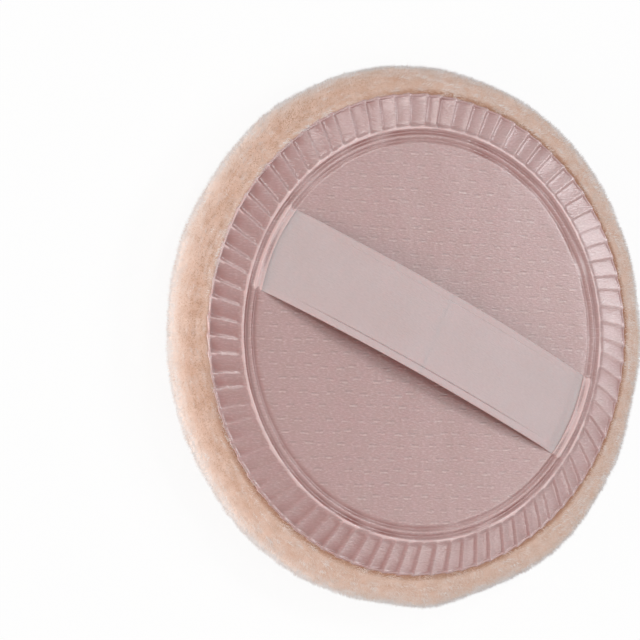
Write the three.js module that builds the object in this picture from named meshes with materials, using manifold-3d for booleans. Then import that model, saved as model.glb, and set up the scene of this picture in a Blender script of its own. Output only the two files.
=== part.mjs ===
// A velour powder puff with a welded satin back and a ribbon finger band.
// Millimetres, +Z up. The puff lies on its velour face, so the satin back and the band look up.
// The origin is the middle of the flat that it lies on, and the band runs along X.

import * as THREE from 'three';
import { mergeVertices } from 'three/addons/utils/BufferGeometryUtils.js';
import Module from 'manifold-3d';

const wasm = await Module();
wasm.setup();

// Driving dimensions of the velour cover
const PUFF_DIAMETER = 80; // over the pile, at the widest line of the rim
const RIM_WIDTH = 4.4; // from the satin's edge out to the widest line
const RIM_RISE = 3.4; // from the widest line up to the satin's edge
const RIM_DROP = 4.5; // from the widest line down to the edge of the face
const FACE_CROWN = 1.7; // swell of the face beyond its edge
const REST_FLAT_DEPTH = 0.5; // part of that swell pressed flat where the puff lies
const VELOUR_THICKNESS = 2; // backing and pile together
const HEM_WIDTH = 5; // velour turned over on to the back, under the satin's border
const HEM_THICKNESS = 1.2; // the hem's pile is pressed down by the weld

// Driving dimensions of the satin back and the film that welds it
const SATIN_THICKNESS = 0.8; // satin with its foam laminate
const SATIN_STAND = 0.3; // how far the satin's edge stands above the pile beside it
const BORDER_WIDTH = 5.3; // the fluted border
const BORDER_RISE = 0.8; // the border climbs this much from its edge to the ring
const FLUTE_PITCH = 2.48; // along the middle of the border
const FLUTE_DEPTH = 0.35;
const FLUTE_SLANT = 1.2; // a flute's outer end lies this far round from its inner end
const FLUTE_RAMP = 0.6; // length of the slope at each end of a flute
const SCALLOP_DEPTH = 0.25; // the edge steps in between the ribs
const RING_WIDTH = 2; // two pressed grooves with a ridge between them
const RING_DEPTH = 0.4;
const FIELD_CROWN = 0.4; // swell of the plain field inside the ring
const FILM_THICKNESS = 0.4;
const FILM_INSET = 1; // the film stops this far inside the satin's edge

// Driving dimensions of the finger band
const BAND_WIDTH = 13;
const BAND_THICKNESS = 0.5;
const BAND_BOW = 2.2; // how far its middle stands above the line of its ends
const BAND_MIDDLE_LENGTH = 20; // the stretch that lifts as one

// Clearance between layers, and the fineness of the round shapes
const LAYER_GAP = 0.3;
const LATHE_SEGMENTS = 48;
const CROWN_STEPS = 3;
const RIM_STEPS = 5;
const CAVITY_STEPS = 5;
const BAND_STEPS = 6;
const TRIM_SEGMENTS = 96;

// Radii and heights that follow from them
const PUFF_RADIUS = PUFF_DIAMETER / 2;
const SATIN_RADIUS = PUFF_RADIUS - RIM_WIDTH;
const LIP_RADIUS = SATIN_RADIUS + LAYER_GAP;
const RING_OUTER_RADIUS = SATIN_RADIUS - BORDER_WIDTH;
const FIELD_RADIUS = RING_OUTER_RADIUS - RING_WIDTH;
const HEM_INNER_RADIUS = SATIN_RADIUS - HEM_WIDTH;
const FILM_RADIUS = SATIN_RADIUS - FILM_INSET;
const REST_FLAT_RADIUS = SATIN_RADIUS * Math.sqrt(REST_FLAT_DEPTH / FACE_CROWN);
const FACE_EDGE_Z = FACE_CROWN - REST_FLAT_DEPTH;
const WIDEST_Z = FACE_EDGE_Z + RIM_DROP;
const SATIN_EDGE_Z = WIDEST_Z + RIM_RISE;
const FIELD_EDGE_Z = SATIN_EDGE_Z + BORDER_RISE;
const FLUTE_COUNT = Math.round((Math.PI * (SATIN_RADIUS + RING_OUTER_RADIUS)) / FLUTE_PITCH);

// Depths of the layers below the satin's top
const FILM_TOP_DEPTH = SATIN_THICKNESS + LAYER_GAP;
const FILM_UNDER_DEPTH = FILM_TOP_DEPTH + FILM_THICKNESS;
const CORE_TOP_DEPTH = FILM_UNDER_DEPTH + LAYER_GAP;
const HEM_UNDER_DEPTH = CORE_TOP_DEPTH + HEM_THICKNESS;

const velour = new THREE.MeshStandardMaterial({ color: 0xe8c8b4, roughness: 0.95, metalness: 0 });
const foam = new THREE.MeshStandardMaterial({ color: 0xf3e7d9, roughness: 0.9, metalness: 0 });
const film = new THREE.MeshStandardMaterial({ color: 0xdedad6, roughness: 0.5, metalness: 0 });
const satin = new THREE.MeshStandardMaterial({ color: 0xbb9c99, roughness: 0.42, metalness: 0 });
const ribbon = new THREE.MeshStandardMaterial({ color: 0xcab7b4, roughness: 0.38, metalness: 0 });

// Height of the satin's top before it is embossed: a level middle with a border that slopes to the edge
function backZ(radius) {
  const climb = Math.min(1, (SATIN_RADIUS - radius) / BORDER_WIDTH);
  return SATIN_EDGE_Z + BORDER_RISE * climb;
}

// Swell of the satin's plain field above its edge
function fieldSwell(radius) {
  const share = radius / FIELD_RADIUS;
  return FIELD_CROWN * (1 - share * share);
}

// Height of the velour face, flat in the middle and crowned towards its edge
function faceZ(radius) {
  const share = radius / SATIN_RADIUS;
  return Math.max(0, FACE_CROWN * share * share - REST_FLAT_DEPTH);
}

// Points of an elliptical arc from one angle to another, in degrees, without its first point
function arcAfterStart(centreRadius, centreZ, semiRadius, semiZ, fromDegrees, toDegrees, steps) {
  const points = [];
  for (let step = 1; step <= steps; step += 1) {
    const degrees = fromDegrees + ((toDegrees - fromDegrees) * step) / steps;
    const angle = THREE.MathUtils.degToRad(degrees);
    points.push([centreRadius + semiRadius * Math.cos(angle), centreZ + semiZ * Math.sin(angle)]);
  }
  return points;
}

// The crowned run of the face from the flat to the rim, raised by a wall thickness
function crownRun(raise) {
  const points = [];
  for (let step = 0; step <= CROWN_STEPS; step += 1) {
    const radius = THREE.MathUtils.lerp(REST_FLAT_RADIUS, SATIN_RADIUS, step / CROWN_STEPS);
    points.push([radius, faceZ(radius) + raise]);
  }
  return points;
}

// The space inside the cover, from the axis out along the face, round the rim and in under the hem.
// The inset draws it in on every side, so that the core takes the same outline with a clearance.
function cavityOutline(inset) {
  const low = faceZ(SATIN_RADIUS) + VELOUR_THICKNESS;
  const high = backZ(SATIN_RADIUS) - HEM_UNDER_DEPTH;
  const reach = PUFF_RADIUS - VELOUR_THICKNESS - SATIN_RADIUS;
  const semiZ = (high - low) / 2 - inset;
  const middleZ = (low + high) / 2;
  return [
    [0, VELOUR_THICKNESS + inset],
    ...crownRun(VELOUR_THICKNESS + inset),
    ...arcAfterStart(SATIN_RADIUS, middleZ, reach - inset, semiZ, -90, 90, CAVITY_STEPS),
    [HEM_INNER_RADIUS - inset, backZ(HEM_INNER_RADIUS) - HEM_UNDER_DEPTH - inset],
  ];
}

// A solid turned about Z from a closed outline of [radius, height] points
function turned(outline) {
  const points = outline.map(([radius, z]) => new THREE.Vector2(radius, z));
  return new THREE.LatheGeometry(points, LATHE_SEGMENTS).rotateX(Math.PI / 2);
}

// The velour cover: face, round rim, a lip of pile beside the satin and the hem turned under it
function velourCover() {
  const lipZ = SATIN_EDGE_Z - SATIN_STAND;
  return turned([
    [0, 0],
    ...crownRun(0),
    ...arcAfterStart(SATIN_RADIUS, WIDEST_Z, RIM_WIDTH, RIM_DROP, -90, 0, RIM_STEPS),
    ...arcAfterStart(LIP_RADIUS, WIDEST_Z, PUFF_RADIUS - LIP_RADIUS, lipZ - WIDEST_Z, 0, 90, RIM_STEPS),
    [LIP_RADIUS, backZ(LIP_RADIUS) - CORE_TOP_DEPTH],
    [HEM_INNER_RADIUS, backZ(HEM_INNER_RADIUS) - CORE_TOP_DEPTH],
    ...cavityOutline(0).reverse(),
  ]);
}

// The sponge fills the cover, pressed thinner under the hem, and carries the film in the middle
function spongeCore() {
  const shoulderRadius = HEM_INNER_RADIUS - LAYER_GAP;
  return turned([
    ...cavityOutline(LAYER_GAP),
    [shoulderRadius, backZ(shoulderRadius) - CORE_TOP_DEPTH],
    [0, backZ(0) - CORE_TOP_DEPTH],
  ]);
}

// The welding film follows the underside of the satin
function weldFilm() {
  const radii = [0, RING_OUTER_RADIUS, FILM_RADIUS];
  const under = radii.map((radius) => [radius, backZ(radius) - FILM_UNDER_DEPTH]);
  const over = radii.map((radius) => [radius, backZ(radius) - FILM_TOP_DEPTH]);
  return turned([...under, ...over.reverse()]);
}

// Rings of vertices stitched one to the next, from the middle of the top to the middle of the underside
class RingSkin {
  positions = [];
  indices = [];
  last = null;

  // One ring: place(column) gives the radius and the height of each column, and turn moves them all round
  ring(columns, place, turn = 0) {
    const start = this.positions.length / 3;
    for (let column = 0; column < columns; column += 1) {
      const angle = turn + (2 * Math.PI * column) / columns;
      const [radius, z] = place(column);
      this.positions.push(radius * Math.cos(angle), radius * Math.sin(angle), z);
    }
    const next = { columns, at: (column) => start + (column % columns) };
    if (this.last) {
      this.stitch(this.last, next);
    }
    this.last = next;
    return this;
  }

  // Two rings share their columns, or the finer one has a whole number of columns to each coarse one
  stitch(inner, outer) {
    const coarse = Math.min(inner.columns, outer.columns);
    const innerShare = inner.columns / coarse;
    const outerShare = outer.columns / coarse;
    for (let column = 0; column < coarse; column += 1) {
      const a = column * innerShare;
      const b = column * outerShare;
      for (let step = 0; step < outerShare; step += 1) {
        this.indices.push(inner.at(a), outer.at(b + step), outer.at(b + step + 1));
      }
      for (let step = 0; step < innerShare; step += 1) {
        this.indices.push(inner.at(a + step), outer.at(b + outerShare), inner.at(a + step + 1));
      }
    }
  }

  geometry() {
    const skin = new THREE.BufferGeometry();
    skin.setAttribute('position', new THREE.Float32BufferAttribute(this.positions, 3));
    skin.setIndex(this.indices);
    return skin;
  }
}

// The satin back: a plain crowned field, the pressed ring, the slanted flutes and a scalloped edge.
// Even columns of the border are ribs and odd ones are the valleys between them.
function satinBack() {
  const ribColumns = FLUTE_COUNT * 2;
  const isRib = (column) => column % 2 === 0;
  const plain = (radius, lift) => () => [radius, backZ(radius) + lift];
  const fluted = (radius) => (column) => [radius, backZ(radius) - (isRib(column) ? 0 : FLUTE_DEPTH)];
  const edgeRadius = (column) => SATIN_RADIUS - (isRib(column) ? 0 : SCALLOP_DEPTH);
  const ringStep = RING_WIDTH / 4; // down, up, down and up again
  const halfField = FIELD_RADIUS / 2;
  const fluteStart = RING_OUTER_RADIUS + FLUTE_RAMP;
  const fluteEnd = SATIN_RADIUS - SCALLOP_DEPTH - FLUTE_RAMP;
  const edgeTurn = -FLUTE_SLANT / SATIN_RADIUS;
  const slant = (radius) => (edgeTurn * (radius - RING_OUTER_RADIUS)) / BORDER_WIDTH;
  return new RingSkin()
    .ring(1, plain(0, fieldSwell(0)))
    .ring(FLUTE_COUNT, plain(halfField, fieldSwell(halfField)))
    .ring(FLUTE_COUNT, plain(FIELD_RADIUS, fieldSwell(FIELD_RADIUS)))
    .ring(FLUTE_COUNT, plain(FIELD_RADIUS + ringStep, -RING_DEPTH))
    .ring(FLUTE_COUNT, plain(FIELD_RADIUS + 2 * ringStep, 0))
    .ring(FLUTE_COUNT, plain(FIELD_RADIUS + 3 * ringStep, -RING_DEPTH))
    .ring(FLUTE_COUNT, plain(RING_OUTER_RADIUS, 0))
    .ring(ribColumns, fluted(fluteStart), slant(fluteStart))
    .ring(ribColumns, fluted(fluteEnd), slant(fluteEnd))
    .ring(ribColumns, (column) => [edgeRadius(column), backZ(edgeRadius(column))], edgeTurn)
    .ring(FLUTE_COUNT, plain(SATIN_RADIUS - SCALLOP_DEPTH, -SATIN_THICKNESS), edgeTurn)
    .ring(FLUTE_COUNT, plain(RING_OUTER_RADIUS, -SATIN_THICKNESS))
    .ring(1, plain(0, -SATIN_THICKNESS))
    .geometry();
}

// Height of the band's underside above its ends
function bandBow(x) {
  const share = x / FIELD_RADIUS;
  return BAND_BOW * (1 - share * share);
}

// A stretch of the bowed band between two places along it
function bandStretch(fromX, toX) {
  const under = [];
  for (let step = 0; step <= BAND_STEPS; step += 1) {
    const x = THREE.MathUtils.lerp(fromX, toX, step / BAND_STEPS);
    under.push(new THREE.Vector2(x, bandBow(x)));
  }
  const over = under.map((point) => new THREE.Vector2(point.x, point.y + BAND_THICKNESS));
  const side = new THREE.Shape([...under, ...over.reverse()]);
  const stretch = new THREE.ExtrudeGeometry(side, { depth: BAND_WIDTH, bevelEnabled: false });
  return stretch.rotateX(Math.PI / 2).translate(0, BAND_WIDTH / 2, 0);
}

function toSolid(geometry) {
  const bare = geometry.clone();
  bare.deleteAttribute('normal');
  bare.deleteAttribute('uv');
  const merged = mergeVertices(bare);
  const vertProperties = new Float32Array(merged.attributes.position.array);
  const triVerts = new Uint32Array(merged.index.array);
  return new wasm.Manifold(new wasm.Mesh({ numProp: 3, vertProperties, triVerts }));
}

function toGeometry(solid) {
  const mesh = solid.getMesh();
  const geometry = new THREE.BufferGeometry();
  geometry.setAttribute('position', new THREE.BufferAttribute(mesh.vertProperties, 3));
  geometry.setIndex(new THREE.BufferAttribute(mesh.triVerts, 1));
  return geometry;
}

// One end of the band, from the lifting middle to the ring, where its edge follows the pressed groove
function bandEnd(side) {
  const inner = BAND_MIDDLE_LENGTH / 2 + LAYER_GAP;
  const ends = [side * inner, side * FIELD_RADIUS].sort((a, b) => a - b);
  const height = 2 * (BAND_BOW + BAND_THICKNESS + LAYER_GAP);
  const field = new THREE.CylinderGeometry(FIELD_RADIUS, FIELD_RADIUS, height, TRIM_SEGMENTS);
  field.rotateX(Math.PI / 2);
  return toGeometry(toSolid(bandStretch(...ends)).intersect(toSolid(field)));
}

function piece(name, geometry, material) {
  const mesh = new THREE.Mesh(geometry, material);
  mesh.name = name;
  return mesh;
}

const band = new THREE.Group();
band.position.z = FIELD_EDGE_Z + LAYER_GAP;
band.add(piece('band_end_left', bandEnd(-1), ribbon));
band.add(piece('band_middle', bandStretch(-BAND_MIDDLE_LENGTH / 2, BAND_MIDDLE_LENGTH / 2), ribbon));
band.add(piece('band_end_right', bandEnd(1), ribbon));

const puff = new THREE.Group();
puff.add(piece('plush_cover', velourCover(), velour));
puff.add(piece('sponge_core', spongeCore(), foam));
puff.add(piece('weld_film', weldFilm(), film));
puff.add(piece('satin_back', satinBack(), satin));
puff.add(band);

export default puff;
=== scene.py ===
import math

import bpy
import numpy as np
from mathutils import Matrix, Vector


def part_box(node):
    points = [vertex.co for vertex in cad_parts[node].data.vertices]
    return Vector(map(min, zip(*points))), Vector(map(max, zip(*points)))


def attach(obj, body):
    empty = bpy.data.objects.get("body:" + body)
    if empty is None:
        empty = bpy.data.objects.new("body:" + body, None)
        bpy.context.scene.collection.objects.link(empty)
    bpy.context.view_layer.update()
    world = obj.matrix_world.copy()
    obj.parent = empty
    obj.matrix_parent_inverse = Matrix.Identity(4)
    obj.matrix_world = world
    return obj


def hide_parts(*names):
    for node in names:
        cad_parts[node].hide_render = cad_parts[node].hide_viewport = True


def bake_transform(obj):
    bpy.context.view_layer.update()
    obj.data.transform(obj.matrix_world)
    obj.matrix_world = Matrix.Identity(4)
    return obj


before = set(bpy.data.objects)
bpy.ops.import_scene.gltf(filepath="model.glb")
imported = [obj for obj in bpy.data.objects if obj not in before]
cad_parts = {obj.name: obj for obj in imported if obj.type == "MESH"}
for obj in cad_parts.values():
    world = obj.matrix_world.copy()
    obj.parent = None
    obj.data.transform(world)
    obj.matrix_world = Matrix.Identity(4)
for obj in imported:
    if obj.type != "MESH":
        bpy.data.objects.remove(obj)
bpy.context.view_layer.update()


# Sponge core: a die-cut disc of soft open-cell foam that gives the pad its body. It is slipped into
# the velour cover and pressed thin under the hem when the back is welded on.
MM = 0.001
core_low, core_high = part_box("sponge_core")
SATIN_RADIUS = 35.6 * MM
FACE_CROWN = 1.7 * MM
REST_FLAT_DEPTH = 0.5 * MM
CORE_EDGE_TOP = 5.8 * MM
CORE_SHOULDER_RADIUS = 30.2 * MM
CORE_SHOULDER_FOOT = 6.5 * MM
CORE_CHAMFER = 0.1 * MM
CORE_LEDGE = 1 * MM
CORE_COLUMNS = 180
PORE_SIZE = 0.9 * MM
PORE_DEPTH = 0.1 * MM


def face_height(radius):
    """Height of the puff's face, flat where it lies and crowned towards the rim."""
    return np.maximum(0, FACE_CROWN * (radius / SATIN_RADIUS) ** 2 - REST_FLAT_DEPTH)


def arc(centre, reach, rise, start, stop, steps):
    """Points of an elliptical arc between two angles in degrees, as radius and height."""
    angle = np.radians(np.linspace(start, stop, steps))
    return np.stack([centre[0] + reach * np.cos(angle), centre[1] + rise * np.sin(angle)], 1)


def turned(outline, columns):
    """Rings of points about Z, one for each radius and height of the outline; on the axis, one point."""
    rings = []
    for radius, height in outline:
        count = columns if radius > 1e-6 else 1
        angle = 2 * math.pi * np.arange(count) / count
        rings.append(np.stack([radius * np.cos(angle), radius * np.sin(angle), np.full(count, height)], 1))
    return rings


def stitched(rings):
    """Points and faces of a skin from ring to ring. Neighbours have as many points, or a multiple."""
    faces = []
    start = 0
    for inner, outer in zip(rings, rings[1:]):
        a, b = start, start + len(inner)
        coarse = min(len(inner), len(outer))
        for column in range(max(len(inner), len(outer)) if coarse == 1 else coarse):
            if len(inner) == 1:
                faces.append((a, b + column, b + (column + 1) % len(outer)))
            elif len(outer) == 1:
                faces.append((a + column, b, a + (column + 1) % len(inner)))
            else:
                step_a, step_b = len(inner) // coarse, len(outer) // coarse
                near = [a + (column * step_a + k) % len(inner) for k in range(step_a + 1)]
                far = [b + (column * step_b + k) % len(outer) for k in range(step_b + 1)]
                faces.append((near[0], *far, *near[:0:-1]))
        start = b
    return np.concatenate(rings), faces


def new_piece(name, points, faces):
    """A smooth-shaded mesh object in the scene."""
    mesh = bpy.data.meshes.new(name)
    mesh.from_pydata(np.asarray(points).tolist(), [], faces)
    mesh.polygons.foreach_set("use_smooth", [True] * len(mesh.polygons))
    piece = bpy.data.objects.new(name, mesh)
    bpy.context.scene.collection.objects.link(piece)
    return piece


def points_of(mesh, field="co"):
    """The mesh's points, or their normals, as an array."""
    values = np.empty(len(mesh.vertices) * 3, np.float32)
    mesh.vertices.foreach_get(field, values)
    return values.reshape(-1, 3).astype(float)


def set_points(mesh, points):
    mesh.vertices.foreach_set("co", np.asarray(points, np.float32).ravel())
    mesh.update()


def uneven(points, wavelength, seed, waves=18):
    """A smooth random field over the points, with a mean of 0 and a spread of 1, the same on every run."""
    draw = np.random.default_rng(seed)
    ways = draw.normal(size=(waves, 3))
    ways /= np.linalg.norm(ways, axis=1, keepdims=True)
    ways *= 2 * math.pi / wavelength * draw.uniform(0.7, 1.4, (waves, 1))
    phase = draw.uniform(0, 2 * math.pi, waves)
    return np.sin(np.asarray(points) @ ways.T + phase).sum(1) * math.sqrt(2 / waves)


def dyed(red, green, blue):
    """A colour as it looks on a screen, from 0 to 255, as the linear value that a shader takes."""
    shares = [value / 255 for value in (red, green, blue)]
    return [*(((x + 0.055) / 1.055) ** 2.4 for x in shares), 1.0]


def put(tree, kind, inputs, **settings):
    """A new node. Inputs are keyed by socket, and each is a value or the socket that feeds it."""
    made = tree.nodes.new(kind)
    for name, value in settings.items():
        setattr(made, name, value)
    for socket, value in inputs.items():
        if isinstance(value, bpy.types.NodeSocket):
            tree.links.new(value, made.inputs[socket])
        else:
            made.inputs[socket].default_value = value
    return made


def mixed(tree, share, first, second):
    """The colour that is the first where share is 0 and the second where it is 1."""
    return put(tree, "ShaderNodeMix", {0: share, 6: first, 7: second}, data_type="RGBA").outputs[2]


def sums(tree, operation, first, second=0.0):
    """The result of one sum on two values, or of one that needs only the first."""
    return put(tree, "ShaderNodeMath", {0: first, 1: second}, operation=operation).outputs[0]


def ranged(tree, value, start, stop, lowest=0.0, highest=1.0):
    """The lowest where the value is at start, the highest where it is at stop, and no more beyond them."""
    limits = {"Value": value, "From Min": start, "From Max": stop, "To Min": lowest, "To Max": highest}
    return put(tree, "ShaderNodeMapRange", limits).outputs["Result"]


def new_finish(name, **constants):
    """A material with its node tree and its shader, whose constant sockets are set here."""
    finish = bpy.data.materials.new(name)
    finish.use_nodes = True
    shader = finish.node_tree.nodes["Principled BSDF"]
    for socket, value in constants.items():
        shader.inputs[socket.replace("_", " ")].default_value = value
    return finish, finish.node_tree, shader


def new_effect(name, inputs, outputs):
    """A shader node group with its named sockets: the tree, what comes in and what goes out."""
    group = bpy.data.node_groups.new(name, "ShaderNodeTree")
    for socket, kind in inputs.items():
        group.interface.new_socket(socket, in_out="INPUT", socket_type=kind)
    for socket, kind in outputs.items():
        group.interface.new_socket(socket, in_out="OUTPUT", socket_type=kind)
    return group, group.nodes.new("NodeGroupInput").outputs, group.nodes.new("NodeGroupOutput").inputs


def uneven_dye():
    """Cloth and foam take dye in soft patches: two shades mixed by noise, and a height to match."""
    colour, value, vector = "NodeSocketColor", "NodeSocketFloat", "NodeSocketVector"
    inputs = {"Place": vector, "Patch Size": value, "Shade": colour, "Second Shade": colour}
    group, given, result = new_effect("uneven dye", inputs, {"Color": colour, "Height": value})
    scale = sums(group, "DIVIDE", 1.0, given["Patch Size"])
    settings = {"Vector": given["Place"], "Scale": scale, "Detail": 4.0, "Roughness": 0.6}
    noise = put(group, "ShaderNodeTexNoise", settings).outputs["Fac"]
    dye = mixed(group, ranged(group, noise, 0.32, 0.68), given["Shade"], given["Second Shade"])
    group.links.new(dye, result["Color"])
    group.links.new(noise, result["Height"])
    return group


def place_of(tree):
    """Where a point of the surface is on the piece, in metres."""
    return put(tree, "ShaderNodeTexCoord", {}).outputs["Object"]


def use(tree, group, inputs):
    """The outputs of an effect placed in a material with its own values."""
    return put(tree, "ShaderNodeGroup", inputs, node_tree=group).outputs


def bumped(tree, shader, height, depth):
    """Feeds the shader's normal from a height, whose full range is the depth in metres."""
    bump = put(tree, "ShaderNodeBump", {"Strength": 1.0, "Distance": depth, "Height": height})
    tree.links.new(bump.outputs["Normal"], shader.inputs["Normal"])


dye_patches = uneven_dye()


def sponge_finish():
    finish, tree, shader = new_finish("open cell foam", Roughness=0.95, Specular_IOR_Level=0.2)
    place = place_of(tree)
    shades = {"Shade": dyed(244, 232, 218), "Second Shade": dyed(231, 214, 196)}
    dye = use(tree, dye_patches, {"Place": place, "Patch Size": 6 * MM, **shades})
    # Painted shade: each pore is coloured darker towards its middle, where it hollows in.
    pores = put(tree, "ShaderNodeTexVoronoi", {"Vector": place, "Scale": 1 / PORE_SIZE})
    cell = ranged(tree, pores.outputs["Distance"], 0.0, 0.55)
    shaded = mixed(tree, cell, dyed(196, 172, 150), dye["Color"])
    tree.links.new(shaded, shader.inputs["Base Color"])
    bumped(tree, shader, cell, 0.3 * MM)
    return finish


def sponge_core():
    edge_low = core_low.z + face_height(SATIN_RADIUS)
    edge_middle = (edge_low + CORE_EDGE_TOP) / 2
    across = np.linspace(SATIN_RADIUS, 0, 40)
    edge_reach = core_high.x - SATIN_RADIUS
    wall_radius = CORE_SHOULDER_RADIUS + CORE_CHAMFER
    wall_top, wall_foot = (wall_radius, core_high.z - CORE_CHAMFER), (wall_radius, CORE_SHOULDER_FOOT)
    ledge = (CORE_SHOULDER_RADIUS + CORE_LEDGE, CORE_SHOULDER_FOOT - CORE_CHAMFER)
    outline = np.concatenate([
        np.linspace((0, core_high.z), (CORE_SHOULDER_RADIUS, core_high.z), 30),
        np.linspace(wall_top, wall_foot, 5),
        np.linspace(ledge, (SATIN_RADIUS, CORE_EDGE_TOP), 6)[:-1],
        arc((SATIN_RADIUS, edge_middle), edge_reach, CORE_EDGE_TOP - edge_middle, 90, -90, 14)[:-1],
        np.stack([across, core_low.z + face_height(across)], 1),
    ])
    core = new_piece("sponge", *stitched(turned(outline, CORE_COLUMNS)))
    at, out = points_of(core.data), points_of(core.data, "normal")
    set_points(core.data, at - out * PORE_DEPTH * (1 + uneven(at, 2 * PORE_SIZE, 11))[:, None])
    core.data.materials.append(sponge_finish())
    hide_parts("sponge_core")
    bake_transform(core)


sponge_core()


# Velour cover: a round of warp-knitted plush drawn over the sponge like a cup, with its edge turned in as
# a flat hem under the satin. The weld holds the hem, and the rim and face swell between.
cover_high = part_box("plush_cover")[1]
PILE = 0.55 * MM
RIM_REACH = cover_high.x - SATIN_RADIUS
WIDEST_HEIGHT = 5.7 * MM
HEM_INNER_RADIUS = 30.7 * MM
HEM_INNER_HEIGHT = 8.0 * MM
HEM_OUTER_RADIUS = 35.3 * MM
HEM_OUTER_HEIGHT = 7.9 * MM
LIP_RADIUS = 35.72 * MM
LIP_SWELL = 0.28 * MM
BACKING_THICKNESS = 0.7 * MM
COVER_COLUMNS = 150
SWELL_CAP = 0.4 * MM
SIM_FRAMES = 20
CLOTH_PRESSURE = 4
LEAST_CLEARANCE = 0.45 * MM
RIM_EASE = 0.25 * MM
# Where the pile laps over the satin's edge, and how far round, in degrees.
LAP_TURN = 172
LAP_SPREAD = 42
# The rim is fuller here: the place and the spread in degrees, and the height.
RIM_BULGES = ((340, 22, 0.85 * MM), (299, 7, 0.6 * MM), (62, 22, 0.45 * MM))
# Heights between which a painted sheen pales the nap down the rim, and between which it turns back to the
# face's peach.
PAINTED_SHEEN_HEIGHTS = (8.2 * MM, 5.2 * MM)
FACE_EDGE = (1.2 * MM, 3.0 * MM)
# Painted shade in the crevice by the satin's edge: this near it the nap is painted brown, and only above
# these heights.
CREVICE_SHADE_WIDTHS = (0.9 * MM, 0.3 * MM)
CREVICE_SHADE_HEIGHTS = (6.5 * MM, 7.5 * MM)
CREVICE_SHADE_STRENGTH = 0.8


def ramp(value, start, stop):
    """0 before start, 1 after stop, and smooth between."""
    share = np.clip((value - start) / (stop - start), 0, 1)
    return share * share * (3 - 2 * share)


def round_bump(angle, centre_degrees, width_degrees):
    """1 at one place round the puff, fading to 0 on both sides of it."""
    away = (angle - math.radians(centre_degrees) + math.pi) % (2 * math.pi) - math.pi
    return np.exp(-((away / math.radians(width_degrees)) ** 2))


def baked_down(piece):
    """Replaces the piece's mesh by the one that its modifiers make."""
    depsgraph = bpy.context.evaluated_depsgraph_get()
    finished = bpy.data.meshes.new_from_object(piece.evaluated_get(depsgraph))
    piece.modifiers.clear()
    piece.data = finished


def swollen(piece, held):
    """Blows the piece up as cloth. The held points stay, and every other point moves by the cap at most."""
    rest = points_of(piece.data)
    welded = piece.vertex_groups.new(name="welded")
    welded.add([int(index) for index in np.flatnonzero(held)], 1.0, "REPLACE")
    cloth = piece.modifiers.new("swell", "CLOTH")
    cloth.settings.vertex_group_mass = welded.name
    cloth.settings.use_pressure = True
    cloth.settings.uniform_pressure_force = CLOTH_PRESSURE
    cloth.settings.effector_weights.gravity = 0
    cloth.point_cache.frame_end = SIM_FRAMES
    for step in range(1, SIM_FRAMES + 1):
        bpy.context.scene.frame_set(step)
    moved = points_of(piece.evaluated_get(bpy.context.evaluated_depsgraph_get()).data) - rest
    piece.modifiers.remove(cloth)
    piece.vertex_groups.clear()
    bpy.context.scene.frame_set(1)
    length = np.linalg.norm(moved, axis=1, keepdims=True)
    set_points(piece.data, rest + moved * SWELL_CAP * np.tanh(length / SWELL_CAP) / np.maximum(length, 1e-9))


def vector_sums(tree, operation, first, second=(0, 0, 0)):
    """The outputs of one sum on two vectors, or of one that needs only the first."""
    return put(tree, "ShaderNodeVectorMath", {0: first, 1: second}, operation=operation).outputs


def split_up(tree, vector):
    """The X, Y and Z of a vector."""
    return put(tree, "ShaderNodeSeparateXYZ", {"Vector": vector}).outputs


def cloudy(tree, place, size, detail):
    """Soft noise from 0 to 1, in clouds of about this size."""
    settings = {"Vector": place, "Scale": 1 / size, "Detail": detail}
    return put(tree, "ShaderNodeTexNoise", settings).outputs["Fac"]


def velour_finish():
    """Knitted backing, with a painted sheen that pales it down the rim's side, and painted shade that browns
    it in the crevice along the satin's edge.
    """
    finish, tree, shader = new_finish(
        "velour backing",
        Roughness=0.95,
        Specular_IOR_Level=0.15,
        Sheen_Weight=0.25,
        Sheen_Roughness=0.45,
        Sheen_Tint=dyed(255, 238, 228),
    )
    place = place_of(tree)
    shades = {"Shade": dyed(224, 192, 176), "Second Shade": dyed(206, 166, 145)}
    dye = use(tree, dye_patches, {"Place": place, "Patch Size": 1.5 * MM, **shades})
    # Painted sheen: the nap is mixed paler down the rim's side, and back to peach on the face.
    height = split_up(tree, place)["Z"]
    side = sums(tree, "MULTIPLY", ranged(tree, height, *PAINTED_SHEEN_HEIGHTS), ranged(tree, height, *FACE_EDGE))
    nap_with_painted_sheen = mixed(tree, side, dye["Color"], dyed(240, 222, 213))
    level_place = vector_sums(tree, "MULTIPLY", place, (1, 1, 0))["Vector"]
    from_middle = vector_sums(tree, "LENGTH", level_place)["Value"]
    # Painted shade: the nap is browned in the crevice along the satin's edge, but not where the pile laps
    # over it.
    near_edge = [SATIN_RADIUS + width for width in CREVICE_SHADE_WIDTHS]
    crevice_shade = ranged(tree, from_middle, *near_edge, highest=CREVICE_SHADE_STRENGTH)
    lap = math.radians(LAP_TURN)
    lap_way = (math.cos(lap), math.sin(lap), 0)
    lapping = vector_sums(tree, "DOT_PRODUCT", place, lap_way)["Value"]
    apart = ranged(tree, lapping, 0.85 * SATIN_RADIUS, 0.55 * SATIN_RADIUS)
    crevice_shade = sums(tree, "MULTIPLY", crevice_shade, apart)
    crevice_shade = sums(tree, "MULTIPLY", crevice_shade, ranged(tree, height, *CREVICE_SHADE_HEIGHTS))
    tree.links.new(mixed(tree, crevice_shade, nap_with_painted_sheen, dyed(160, 112, 88)), shader.inputs["Base Color"])
    bumped(tree, shader, cloudy(tree, place, 0.5 * MM, 3.0), 0.08 * MM)
    return finish


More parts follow.
